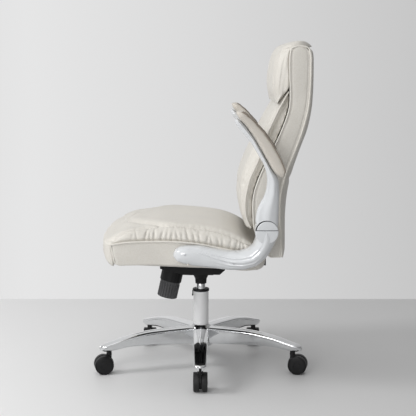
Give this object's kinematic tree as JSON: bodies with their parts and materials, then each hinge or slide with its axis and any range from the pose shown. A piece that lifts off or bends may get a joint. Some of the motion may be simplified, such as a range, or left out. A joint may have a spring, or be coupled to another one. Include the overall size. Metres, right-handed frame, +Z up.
{
  "type": "swivel office chair",
  "caption": "High-backed swivel office chair with padded seat and headrest, flip-up arms, tilt mechanism, gas lift and a five-legged base on twin-wheel casters.",
  "frame": {"origin": "on the floor, on the axis of the gas column", "axes": "+Z up, -Y the way the chair faces, +X to the chair's left side"},
  "size_m": [0.69, 0.6916, 1.053],
  "materials": {
    "leather": "satin",
    "arm_leather": "satin",
    "arm_paint": "gloss",
    "chrome": "polished",
    "white_steel": "gloss",
    "steel": "satin",
    "black_steel": "satin",
    "black_plastic": "matte",
    "caster_wheel": "satin",
    "plywood": "matte",
    "dust_fabric": "matte"
  },
  "bodies": {
    "base": {"star_base": "chrome", "stand_tube": "white_steel", "guide_bushing": "black_plastic", "tube_top_ring": "black_plastic", "thrust_bearing": "steel", "rod_clip": "steel"},
    "caster_1": {"caster_hood_1": "black_plastic", "caster_stem_1": "steel"},
    "caster_2": {"caster_hood_2": "black_plastic", "caster_stem_2": "steel"},
    "caster_3": {"caster_hood_3": "black_plastic", "caster_stem_3": "steel"},
    "caster_4": {"caster_hood_4": "black_plastic", "caster_stem_4": "steel"},
    "caster_5": {"caster_hood_5": "black_plastic", "caster_stem_5": "steel"},
    "wheel_1a": {"caster_wheel_1a": "caster_wheel"},
    "wheel_1b": {"caster_wheel_1b": "caster_wheel"},
    "wheel_2a": {"caster_wheel_2a": "caster_wheel"},
    "wheel_2b": {"caster_wheel_2b": "caster_wheel"},
    "wheel_3a": {"caster_wheel_3a": "caster_wheel"},
    "wheel_3b": {"caster_wheel_3b": "caster_wheel"},
    "wheel_4a": {"caster_wheel_4a": "caster_wheel"},
    "wheel_4b": {"caster_wheel_4b": "caster_wheel"},
    "wheel_5a": {"caster_wheel_5a": "caster_wheel"},
    "wheel_5b": {"caster_wheel_5b": "caster_wheel"},
    "lift_rod": {"piston_rod": "steel"},
    "mechanism": {"pressure_tube": "chrome", "mechanism_housing": "black_steel", "spring_housing": "black_steel", "tilt_axle": "steel", "tension_spring": "black_steel"},
    "release_pin": {"release_pin": "steel"},
    "height_lever": {"lever_rod": "black_steel", "lever_handle": "black_plastic"},
    "tension_bolt": {"tension_bolt": "steel", "thrust_washer": "steel"},
    "tension_knob": {"tension_knob": "black_plastic"},
    "seat": {"seat_plate": "black_steel", "seat_board": "plywood", "dust_cover": "dust_fabric", "seat_band": "leather", "seat_cushion": "leather", "back_board": "plywood", "back_band": "leather", "back_cushion": "leather", "head_cushion": "leather", "rear_panel": "leather", "back_strap_left": "black_steel", "back_strap_right": "black_steel", "arm_bracket_left": "arm_paint", "arm_bracket_right": "arm_paint", "hinge_pin_left": "steel", "hinge_pin_right": "steel", "friction_washer_left": "steel", "friction_washer_right": "steel"},
    "arm_left": {"arm_frame_left": "arm_paint", "arm_pad_left": "arm_leather"},
    "arm_right": {"arm_frame_right": "arm_paint", "arm_pad_right": "arm_leather"}
  },
  "joints": [
    {"name": "caster_swivel_1", "type": "hinge", "parent": "base", "child": "caster_1", "pos_m": [0.3086, 0, 0.07], "axis": [0, 0, 1], "continuous": true},
    {"name": "caster_swivel_2", "type": "hinge", "parent": "base", "child": "caster_2", "pos_m": [0.09536, 0.2935, 0.07], "axis": [0, 0, 1], "continuous": true},
    {"name": "caster_swivel_3", "type": "hinge", "parent": "base", "child": "caster_3", "pos_m": [-0.24966, 0.18139, 0.07], "axis": [0, 0, 1], "continuous": true},
    {"name": "caster_swivel_4", "type": "hinge", "parent": "base", "child": "caster_4", "pos_m": [-0.24966, -0.18139, 0.07], "axis": [0, 0, 1], "continuous": true},
    {"name": "caster_swivel_5", "type": "hinge", "parent": "base", "child": "caster_5", "pos_m": [0.09536, -0.2935, 0.07], "axis": [0, 0, 1], "continuous": true},
    {"name": "wheel_spin_1a", "type": "hinge", "parent": "caster_1", "child": "wheel_1a", "pos_m": [0.2916, 0, 0.03], "axis": [0, 1, 0], "continuous": true},
    {"name": "wheel_spin_1b", "type": "hinge", "parent": "caster_1", "child": "wheel_1b", "pos_m": [0.2916, 0, 0.03], "axis": [0, 1, 0], "continuous": true},
    {"name": "wheel_spin_2a", "type": "hinge", "parent": "caster_2", "child": "wheel_2a", "pos_m": [0.0989, 0.31012, 0.03], "axis": [0.9781, -0.2079, 0], "continuous": true},
    {"name": "wheel_spin_2b", "type": "hinge", "parent": "caster_2", "child": "wheel_2b", "pos_m": [0.0989, 0.31012, 0.03], "axis": [0.9781, -0.2079, 0], "continuous": true},
    {"name": "wheel_spin_3a", "type": "hinge", "parent": "caster_3", "child": "wheel_3a", "pos_m": [-0.26666, 0.18139, 0.03], "axis": [0, 1, 0], "continuous": true},
    {"name": "wheel_spin_3b", "type": "hinge", "parent": "caster_3", "child": "wheel_3b", "pos_m": [-0.26666, 0.18139, 0.03], "axis": [0, 1, 0], "continuous": true},
    {"name": "wheel_spin_4a", "type": "hinge", "parent": "caster_4", "child": "wheel_4a", "pos_m": [-0.26666, -0.18139, 0.03], "axis": [0, 1, 0], "continuous": true},
    {"name": "wheel_spin_4b", "type": "hinge", "parent": "caster_4", "child": "wheel_4b", "pos_m": [-0.26666, -0.18139, 0.03], "axis": [0, 1, 0], "continuous": true},
    {"name": "wheel_spin_5a", "type": "hinge", "parent": "caster_5", "child": "wheel_5a", "pos_m": [0.0989, -0.31012, 0.03], "axis": [-0.9781, -0.2079, 0], "continuous": true},
    {"name": "wheel_spin_5b", "type": "hinge", "parent": "caster_5", "child": "wheel_5b", "pos_m": [0.0989, -0.31012, 0.03], "axis": [-0.9781, -0.2079, 0], "continuous": true},
    {"name": "seat_swivel", "type": "hinge", "parent": "base", "child": "lift_rod", "pos_m": [0, 0, 0.084], "axis": [0, 0, 1], "continuous": true},
    {"name": "seat_height", "type": "slide", "parent": "lift_rod", "child": "mechanism", "axis": [0, 0, 1], "range_m": [0, 0.1]},
    {"name": "height_lever_lift", "type": "hinge", "parent": "mechanism", "child": "height_lever", "pos_m": [-0.054, 0, 0.3315], "axis": [0, 1, 0], "range_deg": [0, 5.5], "stiffness_Nm_per_rad": 4, "springref_deg": -4.58},
    {"name": "release_pin_press", "type": "slide", "parent": "mechanism", "child": "release_pin", "axis": [0, 0, 1], "range_m": [-0.0054, 0]},
    {"name": "seat_tilt", "type": "hinge", "parent": "mechanism", "child": "seat", "pos_m": [0, 0.018, 0.354], "axis": [-1, 0, 0], "range_deg": [0, 12], "stiffness_Nm_per_rad": 120, "springref_deg": -14.32},
    {"name": "tension_bolt_lift", "type": "slide", "parent": "mechanism", "child": "tension_bolt", "axis": [0, 0.2198, 0.9755], "range_m": [0, 0.0212], "deforming": ["tension_spring"]},
    {"name": "tension_knob_turn", "type": "hinge", "parent": "tension_bolt", "child": "tension_knob", "pos_m": [0, -0.111, 0.23], "axis": [0, 0.2198, 0.9755], "range_deg": [-1080, 1080]},
    {"name": "arm_flip_left", "type": "hinge", "parent": "seat", "child": "arm_left", "pos_m": [0.305, 0.196, 0.494], "axis": [1, 0, 0], "range_deg": [0, 54]},
    {"name": "arm_flip_right", "type": "hinge", "parent": "seat", "child": "arm_right", "pos_m": [-0.305, 0.196, 0.494], "axis": [1, 0, 0], "range_deg": [0, 54]}
  ],
  "couplings": [
    {"joint": "release_pin_press", "follows": "height_lever_lift", "m_per_rad": -0.054},
    {"joint": "tension_bolt_lift", "follows": "seat_tilt", "m_per_rad": 0.0979}
  ]
}
